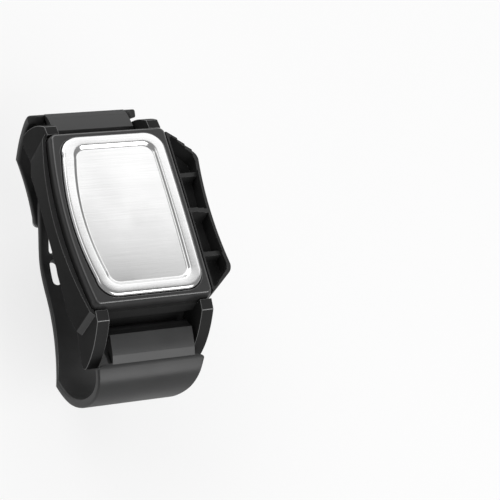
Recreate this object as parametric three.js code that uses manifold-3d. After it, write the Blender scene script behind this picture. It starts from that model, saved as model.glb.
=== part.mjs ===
import * as THREE from 'three';
import { mergeVertices } from 'three/addons/utils/BufferGeometryUtils.js';
import Module from 'manifold-3d';

// Wristband with a magnetic steel tray. Millimetres. X runs along the forearm, Y to the
// 12 o'clock strap, and Z = 0 is the tray's rim until the whole is set on its lowest strap.

// Steel tray
const TRAY_WIDTH = 28;
const TRAY_LENGTH = 44.5;
const TRAY_CORNER = 5;
const LEFT_BOW = 2;
const RIGHT_BOW = 0.2;
const SHEET = 0.6;
const RIM_FLAT = 2.7;
const RIM_ROUND = 0.6;
const TRAY_WALL = 0.9;
const TRAY_DEPTH = 0.7;
const TRAY_SKIRT = 1.5;
const WALL_BEND_RUN_SHARE = 0.25;
const WALL_BEND_DROP_SHARE = 0.12;

// Bezel frame
const BEZEL_MARGIN = 2;
const BEZEL_CORNER = 2;
const BEZEL_DROP = 0.9;
const BEZEL_HEIGHT = 3.6;
const BEZEL_CHAMFER = 0.7;
const TRAY_CLEARANCE = 0.15;
const LEDGE_WIDTH = 3.2;
const SEAT_GAP = 0.05;

// Case base
const LUG_SPAN = 31;
const LUG_GAP = 24.6;
const LUG_RISE = 2;
const LUG_BROW = 2.7;
const LUG_BROW_DROP = 0.6;
const LUG_BULGE = 1.1;
const LUG_TIP_RADIUS = 1.9;
const LUG_TIP_REACH = 2.95;
const LUG_TIP_DROP = 5.2;
const ARCH_REACH = 22.75;
const PIN_REACH = 4.1;
const PIN_DEPTH = 12.5;
const CASE_THICKNESS = 9.5;
const WRIST_RADIUS = 39;
const BEZEL_GROOVE = 0.3;
const SHOULDER_PROUD = 1.1;
const SHOULDER_BOW = 3;
const SHOULDER_CHAMFER = 1.3;
const SHOULDER_LENGTH = 51;
const SHOULDER_TOP = 3.5;
const SHOULDER_HEIGHT = 11.2;

// Pocket wing on the hand side
const WING_REACH = 8.4;
const WING_ROOT_LENGTH = 46;
const WING_TIP_LENGTH = 33.5;
const WING_CORNER = 1.6;
const WING_WAIST = 1;
const WING_TOP = 2.2;
const WING_HEIGHT = 8.8;
const WING_WALL = 1;
const WING_FLOOR = 1.5;
const POCKET_INSET = 1.3;
const RIB_THICKNESS = 1.2;
const RIB_PITCH = 11.4;
const RIB_DROP = 2.6;
const STEP_DROP = 0.5;
const STEP_COUNT = 4;
const STEP_TREAD = 1.8;
const STEP_START = 0.36;

// Magnets and fasteners
const MAGNET_SIDE_MARGIN = 1.4;
const MAGNET_END_MARGIN = 2.45;
const MAGNET_GAP = 0.6;
const MAGNET_THICKNESS = 3.2;
const MAGNET_COUNT = 3;
const YOKE_THICKNESS = 1;
const POCKET_CLEARANCE = 0.3;
const SIDE_MAGNET_THICKNESS = 2;
const SIDE_MAGNET_LENGTH = 11;
const SIDE_MAGNET_HEIGHT = 3.6;
const SIDE_MAGNET_OFFSET = 9;
const SIDE_MAGNET_WALL = 0.7;
const SCREW_SIDE_INSET = 3;
const SCREW_END_INSET = 4.25;
const SCREW_RADIUS = 0.8;
const SCREW_CLEARANCE = 0.1;
const SCREW_BITE = 2.1;
const SCREW_HEAD_RADIUS = 1.6;
const SCREW_HEAD_HEIGHT = 1.2;
const SCREW_CROWN_RADIUS = 1.36;
const SCREW_HEAD_EDGE = 0.84;
const SCREW_SEAT = 4.5;

// Straps
const BAND_WIDTH = 30;
const BAND_THICKNESS = 2.2;
const BAND_TAPER = 5.5;
const TIP_ROUND_SHARE = 0.06;
const TIP_ROUND = 4;
const KNUCKLE_RADIUS = 3;
const KNUCKLE_GAP = 1.3;
const KNUCKLE_ROOM = 2.4;
const ROOT_REACH = 6.4;
const ROOT_BACK = 0.5;
const ROOT_TOP = 4;
const ROOT_BROW = 3.6;
const BROW_TOP = 3.1;
const LIP_REACH = 7.3;
const LIP_TOP = 1;
const STRAP_SHOULDER = 3.3;
const STRAP_SHOULDER_RUN = 1.3;
const LOWER_LEFT_TAPER_SHARES = [0.4, 0.68];
const LOWER_RIGHT_TAPER_SHARES = [0.015, 0.25];
const UPPER_LEFT_TAPER_SHARES = [0.5, 1.1];
const UPPER_RIGHT_TAPER_SHARES = [0.12, 0.45];
const STRAP_STEPS = 44;

// Places on the straps' middle lines: outwards from the pin, then down from it
const STRAP_START = [3.2, 0];
const UPPER_BEND = [5.6, -0.3];
const UPPER_CREST = [7.1, 1.3];
const UPPER_FLANK = [6.9, 5.2];
const UPPER_SIDE = [5.05, 11.5];
const UPPER_TURN = [1.05, 18.45];
const UPPER_UNDER = [-5, 24.5];
const UPPER_END = [-11, 28.6];
const LOWER_BEND = [5.8, -0.4];
const LOWER_CREST = [10, 1.9];
const LOWER_SIDE = [11.6, 7];
const LOWER_FLANK = [10, 15];
const LOWER_TURN = [5.4, 22.8];
const LOWER_UNDER = [-2.2, 28.6];
const LOWER_HEEL = [-10.4, 31.4];
const SOLE_START = [-19.4, 32.5];
const SOLE_MIDDLE = [-28.4, 32.7];
const SOLE_END = [-36.8, 31.5];
const SOLE_TRIM = 0.45;
const TAIL_GAP = 0.45;
const TAIL_START_SHARE = 0.99;
const TAIL_END_SHARE = 0.66;
const TAIL_POINTS = 4;
const SEARCH_STEPS = 440;

// Snap clasp
const CLASP_WIDTH = 19;
const CLASP_LENGTH = 7;
const CLASP_THICKNESS = 0.9;
const CLASP_SHARE = 0.9;
const CLASP_GAP = 0.3;
const CLASP_CORNER = 1.5;
const PEG_RADIUS = 1.1;
const PEG_SPACING = 12;
const PEG_LENGTH = 4.9;
const PEG_CLEARANCE = 0.15;
const SLOT_LENGTH = 7;
const SLOT_PITCH = 9;
const SLOT_ROWS = 3;

// Spring bars
const BARREL_RADIUS = 1.2;
const BARREL_BORE = 0.8;
const BARREL_CRIMP = 0.6;
const BAR_CLEARANCE = 0.1;
const NECK_RADIUS = 0.5;
const NECK_CLEARANCE = 0.05;
const TIP_ENTRY = 1.1;
const TIP_HOLE_DEPTH = 1.7;
const TIP_COLLAR = 1.75;
const TIP_TRAVEL = 1.15;
const SPRING_WIRE = 0.12;
const SPRING_TURNS = 10;
const SPRING_TURN_STEPS = 8;
const SPRING_SIDES = 5;

// How far a cutter runs past the face it opens
const OVERCUT = 1;

// Facet counts
const ROUND = 16;
const CORNER_STEPS = 5;
const SIDE_STEPS = 12;
const ARCH_STEPS = 24;

const halfTrayWidth = TRAY_WIDTH / 2;
const halfTrayLength = TRAY_LENGTH / 2;
const bezelTop = -BEZEL_DROP;
const bezelBottom = bezelTop - BEZEL_HEIGHT;
const ledgeTop = -TRAY_SKIRT - SEAT_GAP;
const baseTop = bezelBottom - SEAT_GAP;
const bezelHalfLength = halfTrayLength + BEZEL_MARGIN;
const bezelHalfWidth = halfTrayWidth + BEZEL_MARGIN;
const lugStart = bezelHalfLength + BEZEL_GROOVE;
const pinY = bezelHalfLength + PIN_REACH;
const pinZ = -PIN_DEPTH;
const archCentreZ = -CASE_THICKNESS - WRIST_RADIUS;
const trayUnderside = -TRAY_DEPTH - SHEET;
const knuckleHalf = LUG_GAP / 2 - KNUCKLE_GAP;
const floorInset = RIM_FLAT + TRAY_WALL;
const magnetWidth = TRAY_WIDTH - 2 * (floorInset + MAGNET_SIDE_MARGIN);
const magnetRun = TRAY_LENGTH - 2 * (floorInset + MAGNET_END_MARGIN);
const magnetPitch = (magnetRun + MAGNET_GAP) / MAGNET_COUNT;
const magnetLength = magnetPitch - MAGNET_GAP;
const magnetTop = trayUnderside - POCKET_CLEARANCE;
const yokeTop = magnetTop - MAGNET_THICKNESS - SEAT_GAP;
const yokeBottom = yokeTop - YOKE_THICKNESS;
const yokeWidth = magnetWidth + SHEET;
const yokeLength = magnetRun + SHEET;
const sideMagnetX = LUG_SPAN / 2 - SIDE_MAGNET_WALL - POCKET_CLEARANCE - SIDE_MAGNET_THICKNESS / 2;
const screwSeat = baseTop - SCREW_SEAT;

const wasm = await Module();
wasm.setup();

function toSolid(geometry) {
  const bare = geometry.index ? geometry.toNonIndexed() : geometry.clone();
  bare.deleteAttribute('normal');
  bare.deleteAttribute('uv');
  const merged = mergeVertices(bare, 1e-4);
  return new wasm.Manifold(new wasm.Mesh({
    numProp: 3,
    vertProperties: new Float32Array(merged.attributes.position.array),
    triVerts: new Uint32Array(merged.index.array),
  }));
}

function toGeometry(solid) {
  const mesh = solid.getMesh();
  const geometry = new THREE.BufferGeometry();
  geometry.setAttribute('position', new THREE.BufferAttribute(new Float32Array(mesh.vertProperties), 3));
  geometry.setIndex(new THREE.BufferAttribute(new Uint32Array(mesh.triVerts), 1));
  geometry.computeVertexNormals();
  return geometry;
}

// A plan shape in X and Y, raised between two heights.
function raise(shape, bottom, top) {
  const geometry = new THREE.ExtrudeGeometry(shape, {
    depth: top - bottom, bevelEnabled: false, curveSegments: ARCH_STEPS,
  });
  return geometry.translate(0, 0, bottom);
}

// A side shape in Y and Z, drawn across from one X to another.
function across(shape, left, right) {
  const geometry = new THREE.ExtrudeGeometry(shape, {
    depth: right - left, bevelEnabled: false, curveSegments: ARCH_STEPS,
  });
  const turn = new THREE.Matrix4().makeBasis(
    new THREE.Vector3(0, 1, 0), new THREE.Vector3(0, 0, 1), new THREE.Vector3(1, 0, 0));
  return geometry.applyMatrix4(turn).translate(left, 0, 0);
}

function block(width, length, bottom, top, x = 0, y = 0) {
  return new THREE.BoxGeometry(width, length, top - bottom).translate(x, y, (top + bottom) / 2);
}

function rodAlongX(radius, left, right, y, z) {
  const rod = new THREE.CylinderGeometry(radius, radius, right - left, ROUND);
  return rod.rotateZ(-Math.PI / 2).translate((left + right) / 2, y, z);
}

function rodAlongZ(radius, bottom, top, x, y) {
  const rod = new THREE.CylinderGeometry(radius, radius, top - bottom, ROUND);
  return rod.rotateX(Math.PI / 2).translate(x, y, (top + bottom) / 2);
}

// A rounded rectangle whose long sides bow out, anticlockwise.
function bowedOutline(halfWidth, halfLength, corner) {
  const points = [];
  const straight = halfLength - corner;
  const bow = (y, amount) => amount * (1 - (y / straight) ** 2);
  const arc = (x, y, start) => {
    for (let step = 0; step <= CORNER_STEPS; step += 1) {
      const angle = start + (step / CORNER_STEPS) * Math.PI / 2;
      points.push(new THREE.Vector2(x + corner * Math.cos(angle), y + corner * Math.sin(angle)));
    }
  };
  const side = (sign, amount) => {
    for (let step = 1; step < SIDE_STEPS; step += 1) {
      const y = sign * straight * (2 * step / SIDE_STEPS - 1);
      points.push(new THREE.Vector2(sign * (halfWidth + bow(y, amount)), y));
    }
  };
  side(1, RIGHT_BOW);
  arc(halfWidth - corner, straight, 0);
  arc(corner - halfWidth, straight, Math.PI / 2);
  side(-1, LEFT_BOW);
  arc(corner - halfWidth, -straight, Math.PI);
  arc(halfWidth - corner, -straight, 1.5 * Math.PI);
  return points;
}

function trayRing(inset, z) {
  const corner = Math.max(TRAY_CORNER - inset, SHEET);
  return bowedOutline(halfTrayWidth - inset, halfTrayLength - inset, corner)
    .map((point) => new THREE.Vector3(point.x, point.y, z));
}

function bezelRing(inset, z) {
  return bowedOutline(bezelHalfWidth - inset, bezelHalfLength - inset, BEZEL_CORNER - inset)
    .map((point) => new THREE.Vector3(point.x, point.y, z));
}

function ringCentre(ring) {
  return ring.reduce((sum, point) => sum.add(point), new THREE.Vector3()).divideScalar(ring.length);
}

// Skin through a run of rings, either joined end to end or closed by a flat cap at each end.
function loft(rings, endToEnd) {
  const count = rings[0].length;
  const positions = rings.flat().flatMap((point) => point.toArray());
  const index = [];
  const bands = endToEnd ? rings.length : rings.length - 1;
  for (let band = 0; band < bands; band += 1) {
    const here = band * count;
    const next = ((band + 1) % rings.length) * count;
    for (let step = 0; step < count; step += 1) {
      const after = (step + 1) % count;
      index.push(here + step, here + after, next + after, here + step, next + after, next + step);
    }
  }
  if (!endToEnd) {
    const first = positions.length / 3;
    positions.push(...ringCentre(rings[0]).toArray(), ...ringCentre(rings.at(-1)).toArray());
    const top = (rings.length - 1) * count;
    for (let step = 0; step < count; step += 1) {
      const after = (step + 1) % count;
      index.push(first, after, step, first + 1, top + step, top + after);
    }
  }
  const geometry = new THREE.BufferGeometry();
  geometry.setAttribute('position', new THREE.Float32BufferAttribute(positions, 3));
  geometry.setIndex(index);
  return geometry;
}

// The pressed tray: rolled rim, sloping wall and flat floor, one sheet thick.
function steelTray() {
  const slope = (share, drop) => trayRing(RIM_FLAT + share * TRAY_WALL, -drop * TRAY_DEPTH);
  const rollIn = RIM_ROUND * (1 - Math.SQRT1_2);
  return loft([
    trayRing(RIM_FLAT + TRAY_WALL, trayUnderside),
    trayRing(RIM_FLAT, -SHEET),
    trayRing(RIM_ROUND + SHEET / 2, -SHEET),
    trayRing(SHEET, -SHEET - RIM_ROUND / 2),
    trayRing(SHEET, -TRAY_SKIRT),
    trayRing(0, -TRAY_SKIRT),
    trayRing(0, -RIM_ROUND),
    trayRing(rollIn, -rollIn),
    trayRing(RIM_ROUND, 0),
    trayRing(RIM_FLAT, 0),
    slope(WALL_BEND_RUN_SHARE, WALL_BEND_DROP_SHARE),
    slope(1 - WALL_BEND_RUN_SHARE, 1 - WALL_BEND_DROP_SHARE),
    slope(1, 1),
  ], false);
}

// The frame: chamfered outside, a pocket for the tray's skirt, a ledge and the magnets' window.
function bezelFrame() {
  const frame = toSolid(loft([
    bezelRing(0, bezelBottom),
    bezelRing(0, bezelTop - BEZEL_CHAMFER),
    bezelRing(BEZEL_CHAMFER, bezelTop),
    trayRing(-TRAY_CLEARANCE, bezelTop),
    trayRing(-TRAY_CLEARANCE, ledgeTop),
    trayRing(LEDGE_WIDTH, ledgeTop),
    trayRing(LEDGE_WIDTH, bezelBottom),
  ], true));
  const holeTop = bezelBottom + SCREW_BITE + SCREW_CLEARANCE;
  const bored = corners().reduce((solid, [x, y]) => solid.subtract(
    toSolid(rodAlongZ(SCREW_RADIUS + SCREW_CLEARANCE, bezelBottom - OVERCUT, holeTop, x, y))), frame);
  return toGeometry(bored);
}

function corners() {
  const x = bezelHalfWidth - SCREW_SIDE_INSET;
  const y = bezelHalfLength - SCREW_END_INSET;
  return [[-x, -y], [x, -y], [x, y], [-x, y]];
}

// One lug's front in Y and Z: a brow, a bulging face and a round tip that runs on to the arch.
function lugFront() {
  const brow = new THREE.Vector2(lugStart + LUG_BROW, baseTop + LUG_RISE - LUG_BROW_DROP);
  const tip = new THREE.Vector2(pinY + LUG_TIP_REACH, pinZ - LUG_TIP_DROP);
  const arch = new THREE.Vector2(ARCH_REACH, archCentreZ + Math.sqrt(WRIST_RADIUS ** 2 - ARCH_REACH ** 2));
  const face = tip.clone().add(new THREE.Vector2(LUG_TIP_RADIUS, 0)).sub(brow);
  const out = new THREE.Vector2(-face.y, face.x).normalize();
  const control = brow.clone().addScaledVector(face, 1 / 2).addScaledVector(out, 2 * LUG_BULGE);
  const toControl = control.clone().sub(tip);
  const start = toControl.angle() - Math.acos(LUG_TIP_RADIUS / toControl.length());
  const toArch = arch.clone().sub(tip);
  const end = toArch.angle() + Math.acos(LUG_TIP_RADIUS / toArch.length()) - 2 * Math.PI;
  return { brow, control, tip, arch, start, end };
}

// Side outline of the case: flat top, a horn-shaped lug at each end and the wrist's arch below.
function caseSide() {
  const shape = new THREE.Shape();
  const { brow, control, tip, arch, start, end } = lugFront();
  const lugTop = baseTop + LUG_RISE;
  const archAngle = Math.asin(arch.x / WRIST_RADIUS);
  const touchY = tip.x + LUG_TIP_RADIUS * Math.cos(start);
  const touchZ = tip.y + LUG_TIP_RADIUS * Math.sin(start);
  shape.moveTo(-lugStart, baseTop);
  shape.lineTo(lugStart, baseTop);
  shape.lineTo(lugStart, lugTop);
  shape.lineTo(brow.x, brow.y);
  shape.quadraticCurveTo(control.x, control.y, touchY, touchZ);
  shape.absarc(tip.x, tip.y, LUG_TIP_RADIUS, start, end, true);
  shape.absarc(0, archCentreZ, WRIST_RADIUS, Math.PI / 2 - archAngle, Math.PI / 2 + archAngle, false);
  shape.absarc(-tip.x, tip.y, LUG_TIP_RADIUS, -Math.PI - end, -Math.PI - start, true);
  shape.quadraticCurveTo(-control.x, control.y, -brow.x, brow.y);
  shape.lineTo(-lugStart, lugTop);
  shape.closePath();
  return shape;
}

// Plan of the left shoulder: a bowed flank with slanted ends.
function shoulderPlan() {
  const half = SHOULDER_LENGTH / 2;
  const straight = half - SHOULDER_CHAMFER;
  const face = -LUG_SPAN / 2 - SHOULDER_PROUD;
  const shape = new THREE.Shape();
  shape.moveTo(0, half);
  shape.lineTo(-LUG_SPAN / 2, half);
  shape.lineTo(face, straight);
  for (let step = 1; step < SIDE_STEPS; step += 1) {
    const y = straight * (1 - 2 * step / SIDE_STEPS);
    shape.lineTo(face - SHOULDER_BOW * (1 - (y / straight) ** 2), y);
  }
  shape.lineTo(face, -straight);
  shape.lineTo(-LUG_SPAN / 2, -half);
  shape.lineTo(0, -half);
  return shape;
}

// Plan of the wing, or of its hollow when it is drawn in by a wall.
function wingPlan(rootX, inset) {
  const tipX = LUG_SPAN / 2 + WING_REACH - inset;
  const root = WING_ROOT_LENGTH / 2 - inset * Math.SQRT2;
  const tip = WING_TIP_LENGTH / 2 - inset / 2;
  const neckX = LUG_SPAN / 2 + inset + WING_WALL;
  const slant = new THREE.Vector2(neckX - tipX, root - tip).setLength(WING_CORNER);
  const straight = tip - WING_CORNER;
  const shape = new THREE.Shape();
  shape.moveTo(rootX, -root);
  shape.lineTo(neckX, -root);
  shape.lineTo(tipX + slant.x, -tip - slant.y);
  for (let step = 0; step <= SIDE_STEPS; step += 1) {
    const y = straight * (2 * step / SIDE_STEPS - 1);
    const x = tipX - WING_WAIST * (1 - (y / straight) ** 2);
    if (step === 0) {
      shape.quadraticCurveTo(tipX, -tip, x, y);
    } else {
      shape.lineTo(x, y);
    }
  }
  shape.quadraticCurveTo(tipX, tip, tipX + slant.x, tip + slant.y);
  shape.lineTo(neckX, root);
  shape.lineTo(rootX, root);
  return shape;
}

// The wing: open pockets parted by ribs, with walls that step down to the outer rim.
function pocketWing() {
  const top = -WING_TOP;
  const bottom = top - WING_HEIGHT;
  const pocketX = LUG_SPAN / 2 + POCKET_INSET;
  const hollow = toSolid(raise(wingPlan(pocketX, WING_WALL), bottom + WING_FLOOR + WING_WALL, top + OVERCUT));
  const ribs = [-1, 0, 1].map((place) => {
    const ribTop = top - RIB_DROP * Math.abs(place) + 2 * OVERCUT * (place === 0);
    return toSolid(block(WING_REACH * 4, RIB_THICKNESS, bottom, ribTop, pocketX, place * RIB_PITCH));
  });
  const pockets = ribs.reduce((solid, rib) => solid.subtract(rib), hollow);
  let wing = toSolid(raise(wingPlan(0, 0), bottom, top)).subtract(pockets);
  for (let step = 1; step < STEP_COUNT; step += 1) {
    const edge = pocketX + STEP_START + STEP_TREAD * step;
    const reach = WING_REACH * 2;
    wing = wing.subtract(toSolid(block(reach, WING_ROOT_LENGTH * 2, top - STEP_DROP * step, top + OVERCUT,
      edge + reach / 2)));
  }
  return wing;
}

// One black moulding: lugs, left shoulder, pocket wing and the seats of all that it carries.
function caseBase() {
  const lugHalf = LUG_SPAN / 2;
  const gapHalf = LUG_GAP / 2;
  const wide = LUG_SPAN * 2;
  let base = toSolid(across(caseSide(), -lugHalf, lugHalf));
  const shoulderBottom = -SHOULDER_TOP - SHOULDER_HEIGHT;
  const arch = toSolid(new THREE.CylinderGeometry(WRIST_RADIUS, WRIST_RADIUS, wide * 2, ARCH_STEPS * 4)
    .rotateZ(Math.PI / 2).translate(0, 0, archCentreZ));
  const flanks = toSolid(raise(shoulderPlan(), shoulderBottom, -SHOULDER_TOP)).add(pocketWing());
  base = base.add(flanks.subtract(arch));
  base = base.subtract(toSolid(loft([
    bezelRing(-BEZEL_GROOVE, baseTop),
    bezelRing(-BEZEL_GROOVE, OVERCUT),
  ], false)));
  for (const end of [-1, 1]) {
    const room = KNUCKLE_RADIUS + KNUCKLE_ROOM;
    const cutLength = PIN_REACH * 4;
    base = base.subtract(toSolid(block(LUG_GAP, cutLength, pinZ - cutLength, OVERCUT, 0,
      end * (lugStart + cutLength / 2))));
    base = base.subtract(toSolid(rodAlongX(room, -gapHalf, gapHalf, end * pinY, pinZ)));
    base = base.subtract(toSolid(rodAlongX(NECK_RADIUS + BAR_CLEARANCE, -gapHalf - TIP_HOLE_DEPTH,
      gapHalf + TIP_HOLE_DEPTH, end * pinY, pinZ)));
  }
  const yokeSeat = yokeBottom - SEAT_GAP;
  base = base.subtract(toSolid(block(yokeWidth + 2 * POCKET_CLEARANCE, yokeLength + 2 * POCKET_CLEARANCE,
    yokeSeat, baseTop + OVERCUT)));
  for (const end of [-1, 1]) {
    base = base.subtract(toSolid(block(SIDE_MAGNET_THICKNESS + 2 * POCKET_CLEARANCE,
      SIDE_MAGNET_LENGTH + 2 * POCKET_CLEARANCE, baseTop - SIDE_MAGNET_HEIGHT - 2 * POCKET_CLEARANCE,
      baseTop + OVERCUT, sideMagnetX, end * SIDE_MAGNET_OFFSET)));
  }
  for (const [x, y] of corners()) {
    const hole = rodAlongZ(SCREW_RADIUS + SCREW_CLEARANCE, screwSeat - OVERCUT, baseTop + OVERCUT, x, y);
    const well = rodAlongZ(SCREW_HEAD_RADIUS + POCKET_CLEARANCE, archCentreZ, screwSeat, x, y);
    base = base.subtract(toSolid(hole)).subtract(toSolid(well));
  }
  return toGeometry(base);
}

// A pan-head screw, driven up from the wrist side.
function caseScrew() {
  const shank = SCREW_SEAT + SEAT_GAP * 2 + SCREW_BITE;
  return new THREE.LatheGeometry([
    new THREE.Vector2(0, -SCREW_HEAD_HEIGHT),
    new THREE.Vector2(SCREW_CROWN_RADIUS, -SCREW_HEAD_HEIGHT),
    new THREE.Vector2(SCREW_HEAD_RADIUS, -SCREW_HEAD_EDGE),
    new THREE.Vector2(SCREW_HEAD_RADIUS, 0),
    new THREE.Vector2(SCREW_RADIUS, 0),
    new THREE.Vector2(SCREW_RADIUS, shank - SCREW_RADIUS),
    new THREE.Vector2(0, shank),
  ], ROUND).rotateX(Math.PI / 2);
}

// Middle line of each strap in Y and Z, from the knuckle to its end.
function beyondPin(end, [out, down]) {
  return new THREE.Vector2(end * (pinY + out), pinZ - down);
}

const upperLine = new THREE.SplineCurve([
  STRAP_START, UPPER_BEND, UPPER_CREST, UPPER_FLANK, UPPER_SIDE, UPPER_TURN, UPPER_UNDER, UPPER_END,
].map((place) => beyondPin(1, place)));

// The lower strap's tail lies along the inside of the upper strap, a small gap away.
function besideUpper(share, offset) {
  const point = upperLine.getPointAt(share);
  const along = upperLine.getTangentAt(share);
  return new THREE.Vector2(point.x - along.y * offset, point.y + along.x * offset);
}

function tailPoints() {
  const offset = -(BAND_THICKNESS + TAIL_GAP);
  return Array.from({ length: TAIL_POINTS }, (_, step) => besideUpper(
    TAIL_START_SHARE + (TAIL_END_SHARE - TAIL_START_SHARE) * step / (TAIL_POINTS - 1), offset));
}

const lowerLine = new THREE.SplineCurve([
  ...[
    STRAP_START, LOWER_BEND, LOWER_CREST, LOWER_SIDE, LOWER_FLANK, LOWER_TURN, LOWER_UNDER,
    LOWER_HEEL, SOLE_START, SOLE_MIDDLE, SOLE_END,
  ].map((place) => beyondPin(-1, place)),
  ...tailPoints(),
]);

// Narrowing of one edge between two places along a strap, and round its tip.
function narrowing(share, start, end) {
  const left = 1 - THREE.MathUtils.clamp((share - start) / (end - start), 0, 1);
  const near = Math.max(0, (share - 1 + TIP_ROUND_SHARE) / TIP_ROUND_SHARE);
  return BAND_TAPER * (1 - left * left) + TIP_ROUND * (1 - Math.sqrt(1 - near * near));
}

// A band of even thickness along a line: narrow at the root, then shouldered, its edges tapering.
function band(line, leftSpan, rightSpan) {
  const reach = line.getLength();
  const half = BAND_THICKNESS / 2;
  const shoulder = [STRAP_SHOULDER / reach, (STRAP_SHOULDER + STRAP_SHOULDER_RUN) / reach];
  const even = Array.from({ length: STRAP_STEPS + 1 }, (_, step) => step / STRAP_STEPS);
  const clear = even.filter((share) => shoulder.every((edge) => Math.abs(edge - share) * reach > SHEET));
  const rings = [...clear, ...shoulder].sort((one, other) => one - other).map((share) => {
    const point = line.getPointAt(share);
    const along = line.getTangentAt(share);
    const widened = THREE.MathUtils.clamp((share * reach - STRAP_SHOULDER) / STRAP_SHOULDER_RUN, 0, 1);
    const full = THREE.MathUtils.lerp(knuckleHalf, BAND_WIDTH / 2, widened);
    const left = narrowing(share, ...leftSpan) - full;
    const right = full - narrowing(share, ...rightSpan);
    const corner = (x, side) => new THREE.Vector3(x, point.x - along.y * side, point.y + along.x * side);
    return [corner(left, -half), corner(left, half), corner(right, half), corner(right, -half)];
  });
  return toSolid(loft(rings, false));
}

// The narrow root that fills the lugs' gap: a round knuckle and a browed tongue.
function strapRoot(end) {
  const shape = new THREE.Shape();
  shape.moveTo(end * (pinY + ROOT_BACK), pinZ + ROOT_TOP);
  shape.lineTo(end * (pinY + ROOT_BROW), pinZ + BROW_TOP);
  shape.lineTo(end * (pinY + LIP_REACH), pinZ + LIP_TOP);
  shape.lineTo(end * (pinY + ROOT_REACH), pinZ - BAND_THICKNESS / 2);
  shape.lineTo(end * pinY, pinZ - KNUCKLE_RADIUS);
  shape.lineTo(end * (pinY - KNUCKLE_RADIUS / 2), pinZ + KNUCKLE_RADIUS / 2);
  const knuckle = toSolid(rodAlongX(KNUCKLE_RADIUS, -knuckleHalf, knuckleHalf, end * pinY, pinZ));
  return knuckle.add(toSolid(across(shape, -knuckleHalf, knuckleHalf)));
}

function strapBlank(end, blank) {
  const bore = toSolid(rodAlongX(BARREL_RADIUS + BAR_CLEARANCE, -BAND_WIDTH, BAND_WIDTH, end * pinY, pinZ));
  return blank.add(strapRoot(end)).subtract(bore);
}

// A frame on a strap: Y runs along its line, Z across its thickness.
function strapFrame(line, share) {
  const point = line.getPointAt(share);
  const along = line.getTangentAt(share);
  const turn = Math.atan2(along.y, along.x);
  return (geometry) => geometry.rotateX(turn).translate(0, point.x, point.y);
}

const onClasp = strapFrame(upperLine, CLASP_SHARE);

// How far along the lower strap its line passes the clasp.
function claspShare() {
  const clasp = upperLine.getPointAt(CLASP_SHARE);
  const shares = Array.from({ length: SEARCH_STEPS }, (_, step) => (step + 1) / SEARCH_STEPS);
  const far = (share) => lowerLine.getPointAt(share).distanceTo(clasp);
  return shares.reduce((best, share) => (far(share) < far(best) ? share : best));
}

// A long round-ended slot that lets a peg slide towards the strap's end as it leaves.
function slot(x, place) {
  const width = 2 * (PEG_RADIUS + PEG_CLEARANCE);
  const run = SLOT_LENGTH - width;
  let cut = toSolid(block(width, run, -BAND_THICKNESS, BAND_THICKNESS, x, run / 2));
  for (const y of [0, run]) {
    cut = cut.add(toSolid(rodAlongZ(width / 2, -BAND_THICKNESS, BAND_THICKNESS, x, y)));
  }
  return toSolid(place(toGeometry(cut)));
}

function upperStrap() {
  let strap = strapBlank(1, band(upperLine, UPPER_LEFT_TAPER_SHARES, UPPER_RIGHT_TAPER_SHARES));
  for (const hand of [-1, 1]) {
    const pegX = hand * PEG_SPACING / 2;
    const hole = rodAlongZ(PEG_RADIUS + PEG_CLEARANCE, -BAND_THICKNESS, BAND_THICKNESS, pegX, 0);
    strap = strap.subtract(toSolid(onClasp(hole)));
  }
  return toGeometry(strap);
}

function lowerStrap() {
  const soleLevel = pinZ - SOLE_MIDDLE[1] + SOLE_TRIM - BAND_THICKNESS / 2;
  const ground = block(BAND_WIDTH * 2, BAND_WIDTH * 3, soleLevel - BAND_THICKNESS, soleLevel);
  const lowerBand = band(lowerLine, LOWER_LEFT_TAPER_SHARES, LOWER_RIGHT_TAPER_SHARES);
  let strap = strapBlank(-1, lowerBand).subtract(toSolid(ground));
  const pitch = SLOT_PITCH / lowerLine.getLength();
  const first = claspShare();
  for (let row = 0; row < SLOT_ROWS; row += 1) {
    const place = strapFrame(lowerLine, first - row * pitch);
    for (const hand of [-1, 1]) {
      strap = strap.subtract(slot(hand * PEG_SPACING / 2, place));
    }
  }
  return toGeometry(strap);
}

// Plate on the outside of the upper strap, with two pegs through both straps.
function claspPlate() {
  const x = CLASP_WIDTH / 2 - CLASP_CORNER;
  const y = CLASP_LENGTH / 2 - CLASP_CORNER;
  const outline = new THREE.Shape();
  outline.absarc(x, y, CLASP_CORNER, 0, Math.PI / 2, false);
  outline.absarc(-x, y, CLASP_CORNER, Math.PI / 2, Math.PI, false);
  outline.absarc(-x, -y, CLASP_CORNER, Math.PI, 1.5 * Math.PI, false);
  outline.absarc(x, -y, CLASP_CORNER, 1.5 * Math.PI, 2 * Math.PI, false);
  const under = BAND_THICKNESS / 2 + CLASP_GAP;
  const plate = new THREE.ExtrudeGeometry(outline, {
    depth: CLASP_THICKNESS, bevelEnabled: false, curveSegments: CORNER_STEPS,
  }).translate(0, 0, under);
  let clasp = toSolid(plate);
  for (const hand of [-1, 1]) {
    const pegX = hand * PEG_SPACING / 2;
    const peg = rodAlongZ(PEG_RADIUS, under - PEG_LENGTH, under + CLASP_THICKNESS / 2, pegX, 0);
    clasp = clasp.add(toSolid(peg));
  }
  return onClasp(toGeometry(clasp));
}

// Spring bar: a tube with crimped ends, two collared tips and the coil between them.
const barrelEnd = knuckleHalf - BAR_CLEARANCE * 2;
const crimpInside = barrelEnd - BARREL_CRIMP;
const collarOuter = crimpInside - NECK_CLEARANCE;
const collarInner = collarOuter - TIP_COLLAR;

function turned(profile) {
  const points = profile.map(([radius, x]) => new THREE.Vector2(radius, x));
  return new THREE.LatheGeometry(points, ROUND).rotateZ(-Math.PI / 2);
}

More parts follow.
